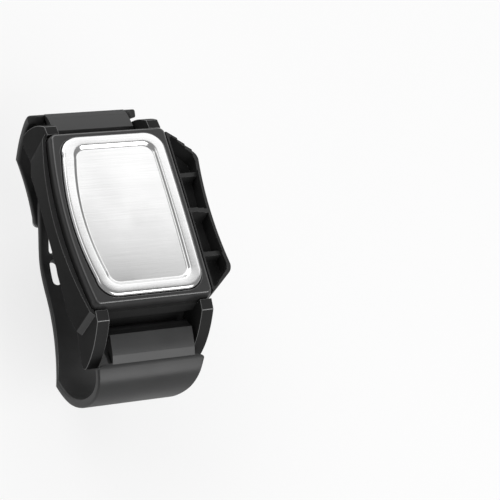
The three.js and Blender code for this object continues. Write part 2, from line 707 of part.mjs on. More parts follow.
function barBarrel() {
  const mouth = NECK_RADIUS + NECK_CLEARANCE;
  return turned([
    [mouth, -barrelEnd], [BARREL_RADIUS, -barrelEnd], [BARREL_RADIUS, barrelEnd], [mouth, barrelEnd],
    [mouth, crimpInside], [BARREL_BORE, crimpInside], [BARREL_BORE, -crimpInside], [mouth, -crimpInside],
    [mouth, -barrelEnd],
  ]);
}

function barTip() {
  const collar = BARREL_BORE - BAR_CLEARANCE;
  const nose = LUG_GAP / 2 + TIP_ENTRY;
  return turned([
    [0, collarInner], [collar, collarInner], [collar, collarOuter],
    [NECK_RADIUS, collarOuter], [NECK_RADIUS, nose], [0, nose],
  ]);
}

class Helix extends THREE.Curve {
  getPoint(share, target = new THREE.Vector3()) {
    const radius = BARREL_BORE - BAR_CLEARANCE - SPRING_WIRE;
    const reach = collarInner - TIP_TRAVEL - BAR_CLEARANCE - SPRING_WIRE;
    const angle = share * SPRING_TURNS * 2 * Math.PI;
    return target.set(reach * (2 * share - 1), radius * Math.cos(angle), radius * Math.sin(angle));
  }
}

function barSpring() {
  const section = new THREE.Shape(Array.from({ length: SPRING_SIDES }, (_, side) => {
    const angle = side * 2 * Math.PI / SPRING_SIDES;
    return new THREE.Vector2(SPRING_WIRE * Math.cos(angle), SPRING_WIRE * Math.sin(angle));
  }));
  return new THREE.ExtrudeGeometry(section, {
    steps: SPRING_TURNS * SPRING_TURN_STEPS, bevelEnabled: false, extrudePath: new Helix(),
  });
}

// Finishes
const FINISHES = {
  gloss: { color: 0x101011, roughness: 0.22, metalness: 0 },
  satin: { color: 0x1d1d1f, roughness: 0.42, metalness: 0 },
  rubber: { color: 0x2a2b2c, roughness: 0.6, metalness: 0 },
  steel: { color: 0xd8d9da, roughness: 0.22, metalness: 1 },
  magnet: { color: 0xa9abae, roughness: 0.3, metalness: 1 },
  iron: { color: 0x8b8d90, roughness: 0.45, metalness: 1 },
};

const wristband = new THREE.Group();

function add(name, geometry, finish, parent = wristband) {
  const mesh = new THREE.Mesh(geometry, new THREE.MeshStandardMaterial(FINISHES[finish]));
  mesh.name = name;
  parent.add(mesh);
  return mesh;
}

add('case_base', caseBase(), 'gloss');
add('bezel_frame', bezelFrame(), 'satin');
add('steel_tray', steelTray(), 'steel');

const yoke = new THREE.BoxGeometry(yokeWidth, yokeLength, YOKE_THICKNESS);
add('yoke_plate', yoke, 'iron').position.z = yokeBottom + YOKE_THICKNESS / 2;
for (let number = 1; number <= MAGNET_COUNT; number += 1) {
  const magnet = new THREE.BoxGeometry(magnetWidth, magnetLength, MAGNET_THICKNESS);
  const y = (number - (MAGNET_COUNT + 1) / 2) * magnetPitch;
  add(`tray_magnet_${number}`, magnet, 'magnet').position.set(0, y, magnetTop - MAGNET_THICKNESS / 2);
}
[-1, 1].forEach((end, place) => {
  const magnet = new THREE.BoxGeometry(SIDE_MAGNET_THICKNESS, SIDE_MAGNET_LENGTH, SIDE_MAGNET_HEIGHT);
  add(`magnetizer_magnet_${place + 1}`, magnet, 'magnet').position.set(
    sideMagnetX, end * SIDE_MAGNET_OFFSET, baseTop - SIDE_MAGNET_HEIGHT / 2 - POCKET_CLEARANCE);
});
corners().forEach(([x, y], place) => {
  add(`case_screw_${place + 1}`, caseScrew(), 'steel').position.set(x, y, screwSeat - SEAT_GAP);
});

add('upper_strap', upperStrap(), 'rubber');
add('lower_strap', lowerStrap(), 'rubber');
add('clasp_plate', claspPlate(), 'steel');

for (const [side, end] of [['upper', 1], ['lower', -1]]) {
  const bar = new THREE.Group();
  bar.position.set(0, end * pinY, pinZ);
  wristband.add(bar);
  add(`${side}_bar_barrel`, barBarrel(), 'steel', bar);
  add(`${side}_bar_spring`, barSpring(), 'steel', bar);
  add(`${side}_bar_tip_right`, barTip(), 'steel', bar);
  add(`${side}_bar_tip_left`, barTip(), 'steel', bar).rotation.z = Math.PI;
}

// The whole stands on its lowest strap, with the middle of its box over the origin.
const box = new THREE.Box3().setFromObject(wristband);
const middle = box.getCenter(new THREE.Vector3());
wristband.position.set(-middle.x, -middle.y, -box.min.z);

export default wristband;
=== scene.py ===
import bisect
import math

import bmesh
import bpy
from mathutils import Matrix, Vector


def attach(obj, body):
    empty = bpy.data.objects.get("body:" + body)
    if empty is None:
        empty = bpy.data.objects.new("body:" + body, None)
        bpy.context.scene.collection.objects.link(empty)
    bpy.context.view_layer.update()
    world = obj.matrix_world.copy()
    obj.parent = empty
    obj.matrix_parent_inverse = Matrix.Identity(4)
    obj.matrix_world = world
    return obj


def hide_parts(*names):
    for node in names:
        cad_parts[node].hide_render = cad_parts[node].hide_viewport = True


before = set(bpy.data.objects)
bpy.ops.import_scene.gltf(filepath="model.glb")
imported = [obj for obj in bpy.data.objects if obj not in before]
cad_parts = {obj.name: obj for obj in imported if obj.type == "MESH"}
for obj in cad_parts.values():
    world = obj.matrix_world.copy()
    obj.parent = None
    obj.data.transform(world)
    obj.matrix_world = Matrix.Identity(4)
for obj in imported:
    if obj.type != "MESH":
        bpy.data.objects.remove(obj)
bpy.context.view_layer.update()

# Sizes in millimetres, in the case's own frame: X runs across the case, Y along it towards the
# upper strap, and Z = 0 is the tray's rim. SHIFT takes that frame to the shared one.
MM = 0.001
SHIFT = Vector((-2.15, 2.19059, 45.85))

# Tray
TRAY_HALF = (14.0, 22.25)
TRAY_CORNER = 5.0
TRAY_CORNER_SHRINK = 0.6
TRAY_SHEET = 0.6
TRAY_HEM = 0.3
TRAY_FOOT = -1.5
TRAY_FLOOR = -0.7
RIM_ROLL = 0.75
RIM_START = 1.0
RIM_END = 2.6
RIM_DIP = 0.03
WALL_END = 3.6
LEFT_BOW = 2.0
RIGHT_BOW = 0.2

# Bezel
BEZEL_HALF = (16.0, 24.25)
BEZEL_CORNER = 2.0
BEZEL_TOP = -0.9
BEZEL_SEAT = -1.55
BEZEL_FOOT = -4.5
BEZEL_LIP = 3.2
BEZEL_GROOVE = 0.3
TRAY_CLEARANCE = 0.15

# Case
BASE_TOP = -4.55
LUG_START = 24.55
LUG_HALF = 15.5
LUG_BROW = (2.7, 1.4)
LUG_TIP = (2.95, -5.2)
LUG_TIP_RADIUS = 1.9
LUG_BULGE = 2.2
GAP_HALF = 12.3
PIN_Y = 28.35
PIN_Z = -12.5
KNUCKLE_ROOM = 5.4
ARCH_RADIUS = 39.0
ARCH_Z = -48.5
ARCH_HALF = 22.75
ROOTED = 0.1
POCKET_OPENING = -4
YOKE_ROOM = (9.6, 16.8)
YOKE_FLOOR = -5.9
MAGNET_ROOM = (1.3, 5.8)
MAGNET_FLOOR = -8.75
MAGNET_X = 13.5
MAGNET_Y = 9
SCREWS = [(-13, -20), (13, -20), (13, 20), (-13, 20)]
SCREW_SEAT = -9.1
WELL_TOP = -9.05
WELL_RADIUS = 1.9
SHOULDER_TOP = -3.5
SHOULDER_FOOT = -14.7
SHOULDER_BOW = 3.0
# Share of coat and of the lighter edge colour, a painted sheen, on the shoulder's slanted ends
SLANT_COAT_AND_PAINTED_SHEEN = 0.35
WING_REACH = 8.4
WING_ROOT_HALF = 23
WING_TIP_HALF = 16.75
WING_TOP = -2.2
WING_FOOT = -11.0
WING_WALL = 1.0
WING_STEP = 0.5

# Straps
KNUCKLE_HALF = 11.0
KNUCKLE_RADIUS = 3.0
BORE_RADIUS = 1.3
CREASE = (5.4, 2.35)
BAND_HALF = 15.0
BAND_THICK = 2.2
BAND_SOFT = 0.55
BAND_LOWEST = -45.85
BAND_TAPER = 5.5
BAND_TIP_ROUND = 4.0
CLASP_SHARE = 0.9
PEG_X = 6
PEG_RADIUS = 1.1
SLOT_RADIUS = 1.25
SLOT_RUN = 4.5
SLOT_PITCH = 9.0


# Mesh tools
def metres(points):
    return [(Vector(p) + SHIFT) * MM for p in points]


def finish_mesh(name, bm, sharp=35.0, weighted=True):
    """The piece's object: outward normals, smooth faces and flats that stay flat."""
    bmesh.ops.remove_doubles(bm, verts=bm.verts, dist=1e-7)
    bmesh.ops.recalc_face_normals(bm, faces=bm.faces)
    mesh = bpy.data.meshes.new(name)
    bm.to_mesh(mesh)
    bm.free()
    mesh.shade_smooth()
    mesh.set_sharp_from_angle(angle=math.radians(sharp))
    piece = bpy.data.objects.new(name, mesh)
    bpy.context.scene.collection.objects.link(piece)
    if weighted:
        steady = piece.modifiers.new("steady_flats", "WEIGHTED_NORMAL")
        steady.keep_sharp = True
    return piece


def coat_and_highlight_layer(bm):
    """The face values that say how far a face takes a clear coat and a lighter colour that is a painted
    highlight.
    """
    return bm.faces.layers.float.get("coat_and_painted_highlight") or bm.faces.layers.float.new("coat_and_painted_highlight")


def round_edges(bm, width, angle=28.0, segments=3, keep=None):
    """Rounds every edge sharper than an angle and marks the rounding for a clear coat and a painted highlight.
    """
    bmesh.ops.remove_doubles(bm, verts=bm.verts, dist=1e-7)
    bmesh.ops.recalc_face_normals(bm, faces=bm.faces)
    limit = math.radians(angle)
    coat_and_highlight = coat_and_highlight_layer(bm)
    edges = [e for e in bm.edges if e.is_manifold and e.calc_face_angle(0.0) > limit]
    if keep:
        edges = [e for e in edges if keep(e)]
    rounded = bmesh.ops.bevel(bm, geom=edges, offset=width * MM, offset_type="OFFSET", segments=segments,
                              profile=0.5, affect="EDGES", clamp_overlap=True, material=-1)
    # The rounded faces are marked for a clear coat and a lighter colour, a painted highlight along the edges.
    for face in rounded["faces"]:
        face[coat_and_highlight] = 1.0


def loft(bm, rings, end_to_end=False):
    """Skin through rings of the same count, joined end to end or capped."""
    loops = [[bm.verts.new(p) for p in metres(ring)] for ring in rings]
    count = len(loops[0])
    pairs = list(zip(loops, loops[1:] + ([loops[0]] if end_to_end else [])))
    for here, there in pairs:
        for i in range(count):
            j = (i + 1) % count
            bm.faces.new((here[i], here[j], there[j], there[i]))
    if not end_to_end:
        bm.faces.new(list(reversed(loops[0])))
        bm.faces.new(loops[-1])


def prism(bm, outline, low, high, axis="Z"):
    """An outline drawn out between two levels: XY along Z, or YZ along X."""
    def at(a, b, level):
        return (a, b, level) if axis == "Z" else (level, a, b)
    base = bm.faces.new([bm.verts.new(p) for p in metres([at(a, b, low) for a, b in outline])])
    out = bmesh.ops.extrude_face_region(bm, geom=[base])
    step = Vector((0, 0, high - low)) if axis == "Z" else Vector((high - low, 0, 0))
    moved = [g for g in out["geom"] if isinstance(g, bmesh.types.BMVert)]
    bmesh.ops.translate(bm, verts=moved, vec=step * MM)


def prism_bm(outline, low, high, axis="Z"):
    bm = bmesh.new()
    prism(bm, outline, low, high, axis)
    return bm


def cutter(bm):
    """A solid that a boolean takes away or adds."""
    bmesh.ops.recalc_face_normals(bm, faces=bm.faces)
    mesh = bpy.data.meshes.new("cutter")
    bm.to_mesh(mesh)
    bm.free()
    tool = bpy.data.objects.new("cutter", mesh)
    bpy.context.scene.collection.objects.link(tool)
    return tool


def carved(bm, tools, unite=()):
    """The body in bm after some solids are added and others taken away, as a new bmesh."""
    body = cutter(bm)
    jobs = [(tool, "UNION") for tool in unite] + [(tool, "DIFFERENCE") for tool in tools]
    for tool, operation in jobs:
        change = body.modifiers.new("change", "BOOLEAN")
        change.solver = "EXACT"
        change.operation = operation
        change.object = tool
    graph = bpy.context.evaluated_depsgraph_get()
    mesh = bpy.data.meshes.new_from_object(body.evaluated_get(graph))
    out = bmesh.new()
    out.from_mesh(mesh)
    for used in [body] + [tool for tool, _ in jobs]:
        data = used.data
        bpy.data.objects.remove(used)
        bpy.data.meshes.remove(data)
    bpy.data.meshes.remove(mesh)
    bmesh.ops.remove_doubles(out, verts=out.verts, dist=1e-6)
    bmesh.ops.dissolve_degenerate(out, edges=out.edges, dist=1e-6)
    return out


def arc(cx, cy, radius, start, end, steps):
    return [(cx + radius * math.cos(start + (end - start) * i / steps),
             cy + radius * math.sin(start + (end - start) * i / steps)) for i in range(steps + 1)]


def circle(cx, cy, radius, steps):
    return arc(cx, cy, radius, 0, 2 * math.pi, steps)[:-1]


def rectangle(x, y, half_x, half_y):
    return [(x - half_x, y - half_y), (x + half_x, y - half_y),
            (x + half_x, y + half_y), (x - half_x, y + half_y)]


def rounded_bend(start, bend, end, steps):
    """Points from start towards end, drawn to a bend between them; the end itself is left off."""
    return [tuple(start * (1 - t) ** 2 + bend * 2 * t * (1 - t) + end * t ** 2)
            for t in [i / steps for i in range(steps)]]


def slab(x, y, half_x, half_y, low, high):
    return cutter(prism_bm(rectangle(x, y, half_x, half_y), low, high))


def well(x, y, radius, low, high):
    return cutter(prism_bm(circle(x, y, radius, 40), low, high))


def edge_ends(edge):
    return [v.co / MM - SHIFT for v in edge.verts]


# Tray and bezel
def bowed(half_width, half_length, corner, corner_steps=12, side_steps=40):
    """A rounded rectangle whose long sides bow out, anticlockwise."""
    straight = half_length - corner
    points = []

    def side(sign, amount):
        for i in range(1, side_steps):
            y = sign * straight * (2 * i / side_steps - 1)
            points.append((sign * (half_width + amount * (1 - (y / straight) ** 2)), y))
    side(1, RIGHT_BOW)
    points.extend(arc(half_width - corner, straight, corner, 0, math.pi / 2, corner_steps))
    points.extend(arc(corner - half_width, straight, corner, math.pi / 2, math.pi, corner_steps))
    side(-1, LEFT_BOW)
    points.extend(arc(corner - half_width, -straight, corner, math.pi, 1.5 * math.pi, corner_steps))
    points.extend(arc(half_width - corner, -straight, corner, 1.5 * math.pi, 2 * math.pi, corner_steps))
    return points


def tray_ring(inset, z):
    corner = TRAY_CORNER - TRAY_CORNER_SHRINK * inset
    return [(x, y, z) for x, y in bowed(TRAY_HALF[0] - inset, TRAY_HALF[1] - inset, corner)]


def bezel_ring(inset, z):
    corner = BEZEL_CORNER - inset
    return [(x, y, z) for x, y in bowed(BEZEL_HALF[0] - inset, BEZEL_HALF[1] - inset, corner)]


def steel_tray():
    """A pressed sheet: underside, rolled rim, a fine step line, the sloping wall and the floor."""
    wall_foot = WALL_END - 0.9
    rings = [tray_ring(WALL_END, TRAY_FLOOR - TRAY_SHEET), tray_ring(wall_foot, -TRAY_SHEET),
             tray_ring(TRAY_SHEET + TRAY_HEM, -TRAY_SHEET), tray_ring(TRAY_SHEET, -TRAY_SHEET - TRAY_HEM),
             tray_ring(TRAY_SHEET, TRAY_FOOT), tray_ring(0, TRAY_FOOT)]
    for i in range(9):
        turn = math.pi / 2 * i / 8
        rings.append(tray_ring(RIM_ROLL * (1 - math.cos(turn)), RIM_ROLL * math.sin(turn) - RIM_ROLL))
    for i in range(7):
        share = i / 6
        rings.append(tray_ring(RIM_START + (RIM_END - RIM_START) * share, -RIM_DIP * share ** 2))
    for i in range(1, 15):
        share = i / 14
        ease = share * share * (3 - 2 * share)
        rings.append(tray_ring(RIM_END + (WALL_END - RIM_END) * share,
                               (TRAY_FLOOR + RIM_DIP) * ease - RIM_DIP))
    for inset in (3.8, 4.3, 6.5):
        rings.append(tray_ring(inset, TRAY_FLOOR))
    bm = bmesh.new()
    loft(bm, rings)
    return finish_mesh("steel_tray_pressed", bm, sharp=50, weighted=False)


def bezel_frame():
    """The frame round the tray: its outer side leans in, and a step inside seats the tray."""
    bm = bmesh.new()
    outside = [bezel_ring(inset, z) for inset, z in (
        (0, BEZEL_FOOT), (0, -3.0), (0.35, -1.5), (0.8, BEZEL_TOP))]
    inside = [tray_ring(-TRAY_CLEARANCE, BEZEL_TOP), tray_ring(-TRAY_CLEARANCE, BEZEL_SEAT),
              tray_ring(BEZEL_LIP, BEZEL_SEAT), tray_ring(BEZEL_LIP, BEZEL_FOOT)]
    loft(bm, outside + inside, end_to_end=True)
    round_edges(bm, 0.22, angle=25)
    return finish_mesh("bezel_frame_moulded", bm)


# Case
def circle_meets_arch(cy, cz, radius):
    """The angle at which a circle near the strap pin meets the case's arch, on its lower side."""
    def miss(a):
        return abs(math.hypot(cy + radius * math.cos(a), cz + radius * math.sin(a) - ARCH_Z) - ARCH_RADIUS)
    return min((math.pi + i * math.pi / 4000 for i in range(2000)), key=miss)


def arch_points(half, steps=40):
    turn = math.asin(half / ARCH_RADIUS)
    return arc(0, ARCH_Z, ARCH_RADIUS, math.pi / 2 - turn, math.pi / 2 + turn, steps)


def core_outline():
    """Side of the case between the lugs, with a round room for each strap's knuckle."""
    top = math.acos((LUG_START - PIN_Y) / KNUCKLE_ROOM)
    low = circle_meets_arch(PIN_Y, PIN_Z, KNUCKLE_ROOM)
    right = arc(PIN_Y, PIN_Z, KNUCKLE_ROOM, top, low, 20)
    left = [(-y, z) for y, z in reversed(right)]
    return [(-LUG_START, BASE_TOP), (LUG_START, BASE_TOP)] + right + arch_points(right[-1][0])[1:-1] + left


def lug_outline():
    """Side of the case at the lugs: a brow, a bulging front, a round tip and the arch."""
    brow = Vector((LUG_START + LUG_BROW[0], BASE_TOP + LUG_BROW[1]))
    tip = Vector((PIN_Y + LUG_TIP[0], PIN_Z + LUG_TIP[1]))
    face = tip + Vector((LUG_TIP_RADIUS, 0)) - brow
    bend = brow + face / 2 + Vector((-face.y, face.x)).normalized() * LUG_BULGE
    to_bend = bend - tip
    start = math.atan2(to_bend.y, to_bend.x) - math.acos(LUG_TIP_RADIUS / to_bend.length)
    to_arch = Vector(arch_points(ARCH_HALF)[0]) - tip
    end = math.atan2(to_arch.y, to_arch.x) + math.acos(LUG_TIP_RADIUS / to_arch.length) - 2 * math.pi
    touch = tip + LUG_TIP_RADIUS * Vector((math.cos(start), math.sin(start)))
    right = [(LUG_START, BASE_TOP), (LUG_START, BASE_TOP + 2.0)]
    right += rounded_bend(brow, bend, touch, 24)
    right += arc(tip.x, tip.y, LUG_TIP_RADIUS, start, end, 20)
    left = [(-y, z) for y, z in reversed(right)]
    return right + arch_points(ARCH_HALF) + left


def arch_cutter(low_x, high_x):
    return cutter(prism_bm(circle(0, ARCH_Z, ARCH_RADIUS, 192), low_x, high_x, "X"))


def bezel_room():
    """The space that the bezel and the groove round it take out of the case."""
    ring = bowed(BEZEL_HALF[0] + BEZEL_GROOVE, BEZEL_HALF[1] + BEZEL_GROOVE, BEZEL_CORNER + BEZEL_GROOVE)
    return cutter(prism_bm(ring, BASE_TOP, 3))


def on_arch(edge):
    """Whether an edge lies on the arch, which runs on unbroken from piece to piece."""
    return all(abs(math.hypot(p.y, p.z - ARCH_Z) - ARCH_RADIUS) < 0.02 for p in edge_ends(edge))


def at_core_end(edge):
    return all(abs(p.x) > GAP_HALF for p in edge_ends(edge))


def case_core():
    """The middle of the case, sunk for the yoke under the magnets."""
    bm = prism_bm(core_outline(), -GAP_HALF - 0.05, GAP_HALF + 0.05, "X")
    bm = carved(bm, [slab(0, 0, *YOKE_ROOM, YOKE_FLOOR, POCKET_OPENING)])
    round_edges(bm, 0.15, angle=40, keep=lambda e: not on_arch(e) and not at_core_end(e))
    return finish_mesh("case_core", bm)


def case_cheek(side):
    """One side of the case with its two lugs, its screw wells and any pockets for magnets."""
    low, high = (-LUG_HALF, -GAP_HALF) if side < 0 else (GAP_HALF, LUG_HALF)
    bm = prism_bm(lug_outline(), low, high, "X")
    tools = [well(x, y, WELL_RADIUS, -30, WELL_TOP) for x, y in SCREWS if x * side > 0]
    if side > 0:
        tools += [slab(MAGNET_X, y, *MAGNET_ROOM, MAGNET_FLOOR, POCKET_OPENING) for y in (-MAGNET_Y, MAGNET_Y)]
    bm = carved(bm, tools)
    round_edges(bm, 0.36, angle=32, keep=lambda e: not on_arch(e))
    return finish_mesh("case_cheek_left" if side < 0 else "case_cheek_right", bm)


def shoulder_outline():
    """Plan of the left shoulder: a bowed flank with slanted ends, rooted in the cheek."""
    half, straight, face, root = 25.5, 24.2, -LUG_HALF - 1.1, -LUG_HALF + ROOTED
    points = [(root, half), (-LUG_HALF, half), (face, straight)]
    for i in range(1, 40):
        y = straight * (1 - 2 * i / 40)
        points.append((face - SHOULDER_BOW * (1 - (y / straight) ** 2), y))
    return points + [(face, -straight), (-LUG_HALF, -half), (root, -half)]


def case_shoulder():
    """The shoulder over the arch; its slanted ends share some of the edges' coat and painted highlight."""
    bm = carved(prism_bm(shoulder_outline(), SHOULDER_FOOT, SHOULDER_TOP), [bezel_room(), arch_cutter(-30, 0)])
    bm.normal_update()
    sheen = coat_and_highlight_layer(bm)
    # Painted sheen: the slanted ends take part of the lighter edge colour, with some coat.
    for face in bm.faces:
        if abs(face.normal.y) > 0.6 and abs(face.normal.z) < 0.1:
            face[sheen] = SLANT_COAT_AND_PAINTED_SHEEN
    round_edges(bm, 0.22, angle=32)
    return finish_mesh("case_shoulder", bm)


def wing_outline(root_x, inset):
    """Plan of the wing, or of its hollow: slanting ends, round corners and a waisted outer side."""
    tip_x = LUG_HALF + WING_REACH - inset
    root, tip = WING_ROOT_HALF - inset * math.sqrt(2), WING_TIP_HALF - inset / 2
    neck, corner, waist = LUG_HALF + inset + 1.0, 1.6, 1.0
    straight = tip - corner
    slant = Vector((neck - tip_x, root - tip)).normalized() * corner
    start = Vector((tip_x + slant.x, -tip - slant.y))
    bends = rounded_bend(start, Vector((tip_x, -tip)), Vector((tip_x, -straight)), 8)
    points = [(root_x, -root), (neck, -root)] + bends
    for i in range(41):
        y = straight * (2 * i / 40 - 1)
        points.append((tip_x - waist * (1 - (y / straight) ** 2), y))
    points += [(x, -y) for x, y in reversed(bends)]
    return points + [(neck, root), (root_x, root)]


def case_wing():
    """Open pockets parted by ribs; the walls step down towards the outer rim."""
    above, pocket_x = WING_TOP + 1, LUG_HALF + 1.3
    hollow = cutter(prism_bm(wing_outline(pocket_x, WING_WALL), WING_FOOT + 2.5, above))
    bm = carved(prism_bm(wing_outline(LUG_HALF - ROOTED, 0), WING_FOOT, WING_TOP), [hollow, bezel_room()])
    rib_x, rib_half, side_rib_y, side_rib_top = 19.5, (3.2, 0.6), 11.4, -4.8
    ribs = [slab(rib_x, y, *rib_half, WING_FOOT + 2, height) for y, height in (
        (-side_rib_y, side_rib_top), (0, WING_TOP - 0.02), (side_rib_y, side_rib_top))]
    first_step, step_run = pocket_x + 10.36, 1.8
    steps = [slab(first_step + step_run * i, 0, 10, 46, WING_TOP - WING_STEP * i, above) for i in (1, 2, 3)]
    bm = carved(bm, steps + [arch_cutter(0, 30)], ribs)
    round_edges(bm, 0.24, angle=30)
    return finish_mesh("case_wing", bm)


# Straps
class Line:
    """A smooth line through points in Y and Z, measured along its length."""

    def __init__(self, points):
        pts = [Vector(p) for p in points]
        self.samples = []
        for k in range(len(pts) - 1):
            a, b = pts[max(k - 1, 0)], pts[k]
            c, d = pts[k + 1], pts[min(k + 2, len(pts) - 1)]
            for i in range(200):
                t = i / 200
                v0, v1 = (c - a) * 0.5, (d - b) * 0.5
                self.samples.append((2 * b - 2 * c + v0 + v1) * t ** 3
                                    + (-3 * b + 3 * c - 2 * v0 - v1) * t ** 2 + v0 * t + b)
        self.samples.append(pts[-1])
        self.run = [0.0]
        for a, b in zip(self.samples, self.samples[1:]):
            self.run.append(self.run[-1] + (b - a).length)
        self.length = self.run[-1]

    def at(self, share):
        want = min(max(share, 0.0), 1.0) * self.length
        i = min(max(bisect.bisect_right(self.run, want) - 1, 0), len(self.samples) - 2)
        a, b = self.samples[i], self.samples[i + 1]
        t = (want - self.run[i]) / max(self.run[i + 1] - self.run[i], 1e-9)
        return a.lerp(b, t)

    def along(self, share):
        step = 0.3 / self.length
        return (self.at(share + step) - self.at(share - step)).normalized()


def beyond_pin(end, place):
    return (end * (PIN_Y + place[0]), PIN_Z - place[1])


UPPER = Line([beyond_pin(1, p) for p in (
    (3.2, 0), (5.6, -0.3), (7.1, 1.3), (6.9, 5.2), (5.05, 11.5), (1.05, 18.45), (-5, 24.5), (-11, 28.6))])


def beside_upper(share, offset):
    point, along = UPPER.at(share), UPPER.along(share)
    return (point.x - along.y * offset, point.y + along.x * offset)


# The lower strap ends inside the upper one, alongside it
LOWER = Line([beyond_pin(-1, p) for p in (
    (3.2, 0), (5.8, -0.4), (10, 1.9), (11.6, 7), (10, 15), (5.4, 22.8), (-2.2, 28.6), (-10.4, 31.4),
    (-19.4, 32.5), (-28.4, 32.7), (-36.8, 31.5))]
    + [beside_upper(0.99 - 0.33 * i / 3, -2.65) for i in range(4)])


def narrowing(share, start, end):
    """How far a band's side draws in: a taper between two shares, then a round tip."""
    left = 1 - min(max((share - start) / (end - start), 0), 1)
    near = max(0.0, (share - 0.94) / 0.06)
    return BAND_TAPER * (1 - left * left) + BAND_TIP_ROUND * (1 - math.sqrt(max(0.0, 1 - near * near)))


def band_section(left, right, half, soft):
    """Rounded section of a band: X from left to right, thickness both ways."""
    points = []
    for cx, cz, start in ((right - soft, half - soft, 0), (left + soft, half - soft, 90),
                          (left + soft, soft - half, 180), (right - soft, soft - half, 270)):
        points.extend(arc(cx, cz, soft, math.radians(start), math.radians(start + 90), 5))
    return points


def strap_band(line, left_span, right_span, steps, lowest=None):
    """A band along a line: narrow at its root, broad past the lugs, tapering to its tip."""
    shoulder, run = 3.3, 1.3
    shares = {i / steps for i in range(steps + 1)}
    shares |= {(shoulder + run * k / 8) / line.length for k in range(9)}
    rings = []
    for share in sorted(shares):
        point, along = line.at(share), line.along(share)
        widened = min(max((share * line.length - shoulder) / run, 0), 1)
        widened = math.sqrt(1 - (1 - widened) ** 2)
        full = KNUCKLE_HALF + (BAND_HALF - KNUCKLE_HALF) * widened
        left, right = narrowing(share, *left_span) - full, full - narrowing(share, *right_span)
        ring = []
        for x, side in band_section(left, right, BAND_THICK / 2, BAND_SOFT):
            z = point.y + along.x * side
            ring.append((x, point.x - along.y * side, max(z, lowest) if lowest is not None else z))
        rings.append(ring)
    bm = bmesh.new()
    loft(bm, rings)
    return bm


def strap_turn(line, share):
    """Where a strap passes a share of its length: Y runs along it and Z through it."""
    point, along = line.at(share), line.along(share)
    place = Matrix.Translation((Vector((0, point.x, point.y)) + SHIFT) * MM)
    return place @ Matrix.Rotation(math.atan2(along.y, along.x), 4, "X")


def in_place(bm, matrix):
    """Takes a shape drawn about the case's zero to a place on a strap."""
    bmesh.ops.transform(bm, matrix=matrix @ Matrix.Translation(-SHIFT * MM), verts=bm.verts)
    return bm


def long_slot(x, run, radius, matrix):
    outline = arc(x, run, radius, 0, math.pi, 16) + arc(x, 0, radius, math.pi, 2 * math.pi, 16)
    return cutter(in_place(prism_bm(outline, -3, 3), matrix))


CLASP = strap_turn(UPPER, CLASP_SHARE)


def upper_strap():
    bm = strap_band(UPPER, (0.5, 1.1), (0.12, 0.45), 90)
    holes = [cutter(in_place(prism_bm(circle(x, 0, SLOT_RADIUS, 32), -3, 3), CLASP)) for x in (-PEG_X, PEG_X)]
    return finish_mesh("upper_strap_band", carved(bm, holes), weighted=False)


def lower_strap():
    """The band with three rows of slots; the clasp's pegs stand in the first row."""
    bm = strap_band(LOWER, (0.4, 0.68), (0.015, 0.25), 170, lowest=BAND_LOWEST)
    clasp = UPPER.at(CLASP_SHARE)
    shares = [(i + 1) / 440 for i in range(440)]
    first = min(shares, key=lambda s: (LOWER.at(s) - clasp).length)
    slots = []
    for row in range(3):
        place = strap_turn(LOWER, first - row * SLOT_PITCH / LOWER.length)
        slots += [long_slot(x, SLOT_RUN, SLOT_RADIUS, place) for x in (-PEG_X, PEG_X)]
    return finish_mesh("lower_strap_band", carved(bm, slots), weighted=False)


def crease_edge(edge, end):
    """Whether an edge is the fold across the tongue's front."""
    return all(math.hypot(end * p.y - PIN_Y - CREASE[0], p.z - PIN_Z - CREASE[1]) < 0.01
               for p in edge_ends(edge))


def front_corner(edge, end):
    """Whether an edge bounds the tongue's end where the front shows beside a lug."""
    return all(abs(abs(p.x) - KNUCKLE_HALF) < 0.01 and end * p.y > PIN_Y + 0.4 for p in edge_ends(edge))


def bore_edge(edge, end):
    middle = (edge.verts[0].co + edge.verts[1].co) / 2 / MM - SHIFT
    return math.hypot(middle.y - end * PIN_Y, middle.z - PIN_Z) < 1.5


def strap_root(end):
    """The tongue between the lugs: a round knuckle behind, a browed top and a sloping front."""
    outline = [(0.5, 4.0), (3.6, 3.1), CREASE, (7.3, 1.0), (6.4, -1.1)]
    outline += arc(0, 0, KNUCKLE_RADIUS, -math.pi / 2, -1.4 * math.pi, 24)
    outline = [(end * (PIN_Y + y), PIN_Z + z) for y, z in outline]
    bm = prism_bm(outline, -KNUCKLE_HALF, KNUCKLE_HALF, "X")
    bm = carved(bm, [cutter(prism_bm(circle(end * PIN_Y, PIN_Z, BORE_RADIUS, 40), -20, 20, "X"))])
    round_edges(bm, 0.12, angle=8, segments=2, keep=lambda e: crease_edge(e, end))
    round_edges(bm, 0.9, angle=60, segments=4, keep=lambda e: front_corner(e, end))
    round_edges(bm, 0.45, angle=20, segments=4, keep=lambda e: not bore_edge(e, end))
    return finish_mesh("upper_strap_root" if end > 0 else "lower_strap_root", bm)


def clasp_plate():
    """A plate with round corners and two pegs that pass through both straps."""
    x, y, r = 8.0, 2.0, 1.5
    outline = (arc(x, y, r, 0, math.pi / 2, 10) + arc(-x, y, r, math.pi / 2, math.pi, 10)
               + arc(-x, -y, r, math.pi, 1.5 * math.pi, 10) + arc(x, -y, r, 1.5 * math.pi, 2 * math.pi, 10))
    bm = prism_bm(outline, 1.4, 2.3)
    for peg_x in (-PEG_X, PEG_X):
        prism(bm, circle(peg_x, 0, PEG_RADIUS, 32), -3.5, 1.9)
    round_edges(bm, 0.25, angle=40)
    return finish_mesh("clasp_plate_pressed", in_place(bm, CLASP))


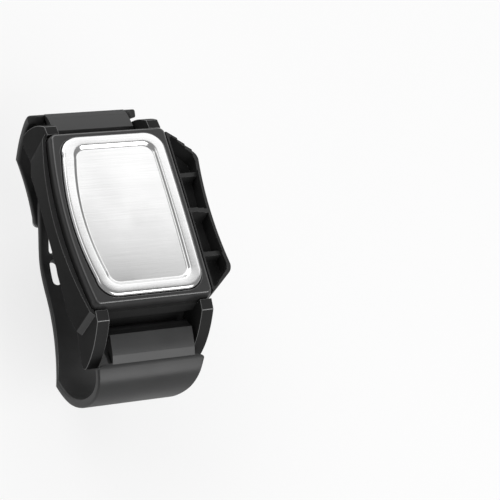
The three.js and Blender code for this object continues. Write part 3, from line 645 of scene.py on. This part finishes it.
# Fasteners and bars
def turned(profile, axis, centre, steps=48):
    """A profile of (radius, distance) pairs, turned about an axis through a point."""
    bm = bmesh.new()
    across = Vector((0, 1, 0)) if axis == "X" else Vector((1, 0, 0))
    main = Vector((1, 0, 0)) if axis == "X" else Vector((0, 0, 1))
    middle = (Vector(centre) + SHIFT) * MM
    verts = [bm.verts.new(middle + (across * r + main * d) * MM) for r, d in profile]
    edges = [bm.edges.new(pair) for pair in zip(verts, verts[1:])]
    bmesh.ops.spin(bm, geom=verts + edges, cent=middle, axis=main, angle=2 * math.pi, steps=steps,
                   use_merge=True)
    bmesh.ops.remove_doubles(bm, verts=bm.verts, dist=1e-7)
    bmesh.ops.dissolve_degenerate(bm, edges=bm.edges, dist=1e-7)
    return bm


def case_screw(number, x, y):
    """A pan head with a cross slot, below a plain shank."""
    head, shank = 1.6, 0.8
    profile = [(0, -1.2), (1.15, -1.2), (1.4, -1.12), (1.55, -0.95), (head, -0.7), (head, 0), (shank, 0),
               (shank, 5.9), (0, 6.7)]
    bm = turned(profile, "Z", (x, y, SCREW_SEAT))
    cross = [slab(x, y, *arm, SCREW_SEAT - 2, SCREW_SEAT - 0.55) for arm in ((0.85, 0.2), (0.2, 0.85))]
    return finish_mesh(f"case_screw_{number}_turned", carved(bm, cross))


def bar_barrel(name, pin):
    """The spring bar's tube, crimped at both mouths to hold the tips in."""
    mouth, bore, outer, eased = 0.55, 0.8, 1.2, 0.08
    length, crimp = 10.8, 10.2
    profile = [(mouth, -length), (outer - eased, -length), (outer, -length + eased), (outer, length - eased),
               (outer - eased, length), (mouth, length), (mouth, crimp), (bore, crimp), (bore, -crimp),
               (mouth, -crimp), (mouth, -length)]
    return finish_mesh(f"{name}_bar_barrel_turned", turned(profile, "X", pin))


def bar_tip(name, side, way, pin):
    """A collared pin that slides in the barrel's mouth and noses into a lug."""
    collar_radius, pin_radius, nose_radius = 0.7, 0.5, 0.38
    inner, collar, nose = 8.4, 10.15, 13.4
    profile = [(0, way * inner), (collar_radius, way * inner), (collar_radius, way * collar),
               (pin_radius, way * collar), (pin_radius, way * (nose - 0.12)), (nose_radius, way * nose),
               (0, way * nose)]
    return finish_mesh(f"{name}_bar_tip_{side}_turned", turned(profile, "X", pin))


# Finishes
def shared_group(name, inputs, outputs):
    group = bpy.data.node_groups.new(name, "ShaderNodeTree")
    for label, kind, value in inputs:
        made = group.interface.new_socket(label, in_out="INPUT", socket_type=kind)
        made.default_value = value
    for label, kind in outputs:
        group.interface.new_socket(label, in_out="OUTPUT", socket_type=kind)
    return group, group.nodes.new("NodeGroupInput"), group.nodes.new("NodeGroupOutput")


def grain_group():
    """Fine moulding grain: a mask of slow clouds, a mask of specks and a bumped normal."""
    group, into, out = shared_group(
        "moulding_grain",
        [("Vector", "NodeSocketVector", (0, 0, 0)), ("Fine", "NodeSocketFloat", 9000.0),
         ("Clouds", "NodeSocketFloat", 120.0), ("Depth", "NodeSocketFloat", 0.1)],
        [("Cloud", "NodeSocketFloat"), ("Speck", "NodeSocketFloat"), ("Normal", "NodeSocketVector")])
    link = group.links.new
    fine = group.nodes.new("ShaderNodeTexNoise")
    fine.inputs["Detail"].default_value = 3
    clouds = group.nodes.new("ShaderNodeTexNoise")
    clouds.inputs["Detail"].default_value = 4
    clouds.inputs["Roughness"].default_value = 0.6
    bump = group.nodes.new("ShaderNodeBump")
    bump.inputs["Distance"].default_value = 0.00004
    for node, scale in ((fine, "Fine"), (clouds, "Clouds")):
        link(into.outputs["Vector"], node.inputs["Vector"])
        link(into.outputs[scale], node.inputs["Scale"])
    link(into.outputs["Depth"], bump.inputs["Strength"])
    link(fine.outputs["Fac"], bump.inputs["Height"])
    link(clouds.outputs["Fac"], out.inputs["Cloud"])
    link(fine.outputs["Fac"], out.inputs["Speck"])
    link(bump.outputs["Normal"], out.inputs["Normal"])
    return group


def brush_group():
    """Brushed metal: streaks drawn out along X, a mask of slow clouds and a bumped normal."""
    group, into, out = shared_group(
        "brushed_streaks",
        [("Vector", "NodeSocketVector", (0, 0, 0)), ("Depth", "NodeSocketFloat", 0.1)],
        [("Streak", "NodeSocketFloat"), ("Cloud", "NodeSocketFloat"), ("Normal", "NodeSocketVector")])
    link = group.links.new
    stretch = group.nodes.new("ShaderNodeMapping")
    stretch.inputs["Scale"].default_value = (60, 5200, 5200)
    streak = group.nodes.new("ShaderNodeTexNoise")
    streak.inputs["Scale"].default_value = 1.0
    streak.inputs["Detail"].default_value = 4
    clouds = group.nodes.new("ShaderNodeTexNoise")
    clouds.inputs["Scale"].default_value = 90
    bump = group.nodes.new("ShaderNodeBump")
    bump.inputs["Distance"].default_value = 0.00002
    link(into.outputs["Vector"], stretch.inputs["Vector"])
    link(stretch.outputs["Vector"], streak.inputs["Vector"])
    link(into.outputs["Vector"], clouds.inputs["Vector"])
    link(into.outputs["Depth"], bump.inputs["Strength"])
    link(streak.outputs["Fac"], bump.inputs["Height"])
    link(streak.outputs["Fac"], out.inputs["Streak"])
    link(clouds.outputs["Fac"], out.inputs["Cloud"])
    link(bump.outputs["Normal"], out.inputs["Normal"])
    return group


GRAIN = grain_group()
BRUSH = brush_group()


def ramp(tree, value, low, high, start=0.3, end=0.7):
    """A value carried between two limits as a mask runs from start to end."""
    node = tree.nodes.new("ShaderNodeMapRange")
    node.inputs["From Min"].default_value = start
    node.inputs["From Max"].default_value = end
    node.inputs["To Min"].default_value = low
    node.inputs["To Max"].default_value = high
    tree.links.new(value, node.inputs["Value"])
    return node.outputs["Result"]


def rgb(value, tint=(1, 1, 1)):
    return tuple(value * t for t in tint)


def blend_colour(tree, mask, first, second):
    """Goes from one colour to another by a mask; each is a fixed colour or a node's output."""
    node = tree.nodes.new("ShaderNodeMix")
    node.data_type = "RGBA"
    for label, colour in (("A", first), ("B", second)):
        if isinstance(colour, tuple):
            node.inputs[label].default_value = (*colour, 1)
        else:
            tree.links.new(colour, node.inputs[label])
    tree.links.new(mask, node.inputs["Factor"])
    return node.outputs["Result"]


def new_material(name, group):
    material = bpy.data.materials.new(name)
    material.use_nodes = True
    tree = material.node_tree
    shader = tree.nodes["Principled BSDF"]
    where = tree.nodes.new("ShaderNodeTexCoord")
    effect = tree.nodes.new("ShaderNodeGroup")
    effect.node_tree = group
    tree.links.new(where.outputs["Object"], effect.inputs["Vector"])
    tree.links.new(effect.outputs["Normal"], shader.inputs["Normal"])
    return material, tree, shader, effect


def plastic(name, dark, light, rough, fine, depth, specular=0.5, edge=None):
    """A moulded plastic; with an edge colour, its rounded edges get a clear coat and that lighter colour,
    which is a painted highlight.
    """
    material, tree, shader, effect = new_material(name, GRAIN)
    effect.inputs["Fine"].default_value = fine
    effect.inputs["Depth"].default_value = depth
    colour = blend_colour(tree, ramp(tree, effect.outputs["Cloud"], 0, 1), dark, light)
    if edge:
        coat_and_highlight = tree.nodes.new("ShaderNodeAttribute")
        coat_and_highlight.attribute_name = "coat_and_painted_highlight"
        # Painted highlight: marked faces take the lighter edge colour; the coat on them is real gloss.
        colour = blend_colour(tree, coat_and_highlight.outputs["Fac"], colour, edge)
        tree.links.new(coat_and_highlight.outputs["Fac"], shader.inputs["Coat Weight"])
        shader.inputs["Coat Roughness"].default_value = 0.12
    tree.links.new(colour, shader.inputs["Base Color"])
    tree.links.new(ramp(tree, effect.outputs["Cloud"], *rough), shader.inputs["Roughness"])
    shader.inputs["Specular IOR Level"].default_value = specular
    return material


def metal(name, dark, light, rough, depth, anisotropic):
    material, tree, shader, effect = new_material(name, BRUSH)
    effect.inputs["Depth"].default_value = depth
    mask = ramp(tree, effect.outputs["Streak"], 0, 1)
    tree.links.new(blend_colour(tree, mask, dark, light), shader.inputs["Base Color"])
    tree.links.new(ramp(tree, effect.outputs["Cloud"], *rough), shader.inputs["Roughness"])
    shader.inputs["Metallic"].default_value = 1
    shader.inputs["Anisotropic"].default_value = anisotropic
    return material


COOL = (1, 1.01, 1.02)
WARM = (1, 1, 0.96)
# The edge colours, lighter than the plastics, are painted highlights on the rounded edges.
GLOSS = plastic("wing_gloss_black", dark=rgb(0.030), light=rgb(0.037), rough=(0.14, 0.22),
                fine=12000, depth=0.04, specular=0.15, edge=rgb(0.14))
CASE = plastic("case_satin_black", dark=rgb(0.028), light=rgb(0.034), rough=(0.32, 0.40),
               fine=9000, depth=0.08, specular=0.006, edge=rgb(0.16))
SATIN = plastic("bezel_satin_charcoal", dark=rgb(0.019), light=rgb(0.025), rough=(0.28, 0.36),
                fine=9000, depth=0.08, specular=0.5, edge=rgb(0.06))
RUBBER = plastic("strap_rubber", dark=rgb(0.022, COOL), light=rgb(0.028, COOL), rough=(0.36, 0.44),
                 fine=7000, depth=0.16)
TRAY = metal("tray_steel", dark=rgb(0.80), light=rgb(0.86), rough=(0.12, 0.17),
             depth=0.04, anisotropic=0.3)
STEEL = metal("fastener_steel", dark=rgb(0.50), light=rgb(0.60), rough=(0.28, 0.36),
              depth=0.05, anisotropic=0.2)
NICKEL = metal("magnet_nickel", dark=rgb(0.55, WARM), light=rgb(0.62, WARM), rough=(0.22, 0.3),
               depth=0.03, anisotropic=0.0)


# Pieces on their bodies
def settle(piece, body, material, slot, *nodes):
    piece.data.materials.clear()
    piece.data.materials.append(material)
    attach(piece, body)
    if nodes:
        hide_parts(*nodes)


settle(steel_tray(), "case", TRAY, "tray_steel", "steel_tray")
settle(bezel_frame(), "case", SATIN, "satin_charcoal", "bezel_frame")
for shape in (case_core(), case_cheek(-1), case_cheek(1), case_shoulder()):
    settle(shape, "case", CASE, "gloss_black", "case_base")
settle(case_wing(), "case", GLOSS, "gloss_black", "case_base")
for number, (screw_x, screw_y) in enumerate(SCREWS, 1):
    settle(case_screw(number, screw_x, screw_y), "case", STEEL, "fastener_steel", f"case_screw_{number}")
for name, band, end in (("upper", upper_strap(), 1), ("lower", lower_strap(), -1)):
    body, pin = f"{name}_strap_body", (0, end * PIN_Y, PIN_Z)
    settle(band, body, RUBBER, "strap_rubber", f"{name}_strap")
    settle(strap_root(end), body, RUBBER, "strap_rubber", f"{name}_strap")
    settle(bar_barrel(name, pin), body, STEEL, "fastener_steel", f"{name}_bar_barrel")
    for side, way in (("left", -1), ("right", 1)):
        settle(bar_tip(name, side, way, pin), f"{name}_bar_tip_{side}_body", STEEL, "fastener_steel",
               f"{name}_bar_tip_{side}")
settle(clasp_plate(), "upper_strap_body", STEEL, "fastener_steel", "clasp_plate")

# Solids that show as they are
for name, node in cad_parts.items():
    if "magnet" in name:
        finish = NICKEL
    elif name in ("yoke_plate", "upper_bar_spring", "lower_bar_spring"):
        finish = STEEL
    else:
        continue
    for place in node.material_slots:
        place.material = finish


# Stage, in metres: a pale floor, low enough for the straps to open above it
FLOOR_SIZE = 3.0
FLOOR_DROP = 0.0075
FLOOR_TO_CAMERA = 0.72
FLOOR_TO_GLOSS = 0.22


def floor_glow(tree, ray):
    """How far the floor shows its own white instead of the light on it, by the kind of ray."""
    glow = None
    for label, weight in (("Is Camera Ray", FLOOR_TO_CAMERA), ("Is Glossy Ray", FLOOR_TO_GLOSS),
                          ("Is Transmission Ray", FLOOR_TO_CAMERA)):
        part = tree.nodes.new("ShaderNodeMath")
        part.operation = "MULTIPLY_ADD"
        part.inputs[1].default_value = weight
        part.inputs[2].default_value = 0
        tree.links.new(ray.outputs[label], part.inputs[0])
        if glow:
            tree.links.new(glow, part.inputs[2])
        glow = part.outputs["Value"]
    return glow


def shader_mix(tree, share, first, second):
    node = tree.nodes.new("ShaderNodeMixShader")
    tree.links.new(share, node.inputs["Fac"])
    tree.links.new(first, node.inputs[1])
    tree.links.new(second, node.inputs[2])
    return node.outputs["Shader"]


def floor_paper():
    """Paper that is white to the camera, throws a softer light on the part and is clear from below."""
    material, tree, shader, effect = new_material("floor_paper", GRAIN)
    effect.inputs["Fine"].default_value = 900
    effect.inputs["Clouds"].default_value = 3
    effect.inputs["Depth"].default_value = 0.02
    mask = ramp(tree, effect.outputs["Cloud"], 0, 1)
    ray = tree.nodes.new("ShaderNodeLightPath")
    bounce = blend_colour(tree, mask, rgb(0.50), rgb(0.52))
    seen = blend_colour(tree, mask, rgb(0.93), rgb(0.95))
    tree.links.new(blend_colour(tree, ray.outputs["Is Camera Ray"], bounce, seen), shader.inputs["Base Color"])
    shader.inputs["Roughness"].default_value = 0.9
    white = tree.nodes.new("ShaderNodeEmission")
    clear = tree.nodes.new("ShaderNodeBsdfTransparent")
    facing = tree.nodes.new("ShaderNodeNewGeometry")
    paper = shader_mix(tree, floor_glow(tree, ray), shader.outputs["BSDF"], white.outputs["Emission"])
    paper = shader_mix(tree, facing.outputs["Backfacing"], paper, clear.outputs["BSDF"])
    tree.links.new(paper, tree.nodes["Material Output"].inputs["Surface"])
    return material


def pale_floor():
    bm = bmesh.new()
    bmesh.ops.create_grid(bm, x_segments=1, y_segments=1, size=FLOOR_SIZE,
                          matrix=Matrix.Translation((0, 0, -FLOOR_DROP)))
    mesh = bpy.data.meshes.new("floor")
    bm.to_mesh(mesh)
    bm.free()
    mesh.materials.append(floor_paper())
    floor = bpy.data.objects.new("floor", mesh)
    bpy.context.scene.collection.objects.link(floor)
    return floor


pale_floor()


def soft_light(name, toward, distance, width, height, power):
    """A soft box that faces the middle of the case."""
    aim = Vector((0, 0, 0.035))
    data = bpy.data.lights.new(name, "AREA")
    data.shape = "RECTANGLE"
    data.size = width
    data.size_y = height
    data.energy = power
    lamp = bpy.data.objects.new(name, data)
    way = Vector(toward).normalized()
    lamp.location = aim + way * distance
    lamp.rotation_euler = way.to_track_quat("Z", "Y").to_euler()
    bpy.context.scene.collection.objects.link(lamp)


soft_light("key_box", toward=(0.213, 0.799, 0.561), distance=1.6, width=2.8, height=1.6, power=13.8)
soft_light("front_box", toward=(0.28, -0.73, 0.63), distance=1.3, width=1.3, height=1.0, power=12.8)
soft_light("back_strip", toward=(-0.40, 0.88, 0.24), distance=1.5, width=1.2, height=0.5, power=4.0)
soft_light("side_box", toward=(-0.50, 0.40, 0.77), distance=1.3, width=0.8, height=0.8, power=1.7)


def studio_world(fill, extra_to_camera):
    """An even fill on the part, and a nearly white background to the camera."""
    world = bpy.data.worlds.new("studio")
    world.use_nodes = True
    tree = world.node_tree
    sky = tree.nodes["Background"]
    sky.inputs["Color"].default_value = (1, 1, 1, 1)
    ray = tree.nodes.new("ShaderNodeLightPath")
    level = tree.nodes.new("ShaderNodeMath")
    level.operation = "MULTIPLY_ADD"
    level.inputs[1].default_value = extra_to_camera
    level.inputs[2].default_value = fill
    tree.links.new(ray.outputs["Is Camera Ray"], level.inputs[0])
    tree.links.new(level.outputs["Value"], sky.inputs["Strength"])
    bpy.context.scene.world = world


studio_world(fill=0.28, extra_to_camera=0.70)


# Camera, as the photograph was taken
CAMERA_PLACE = (-193.9, -206.7, 412.1)
CAMERA_RIGHT = (0.8942, -0.2738, 0.3542)
CAMERA_UP = (0.0878, 0.8831, 0.4609)
CAMERA_BACK = (-0.439, -0.381, 0.8137)
CAMERA_LENS = 145.08


def photo_camera():
    data = bpy.data.cameras.new("photo_camera")
    data.sensor_fit = "HORIZONTAL"
    data.sensor_width = 36
    data.lens = CAMERA_LENS
    data.clip_start = 0.01
    camera = bpy.data.objects.new("photo_camera", data)
    axes = Matrix((CAMERA_RIGHT, CAMERA_UP, CAMERA_BACK)).transposed()
    turn = axes.to_quaternion().to_matrix().to_4x4()
    camera.matrix_world = Matrix.Translation((Vector(CAMERA_PLACE) + SHIFT) * MM) @ turn
    bpy.context.scene.collection.objects.link(camera)
    return camera


bpy.context.scene.camera = photo_camera()
bpy.context.scene.view_settings.view_transform = "Standard"
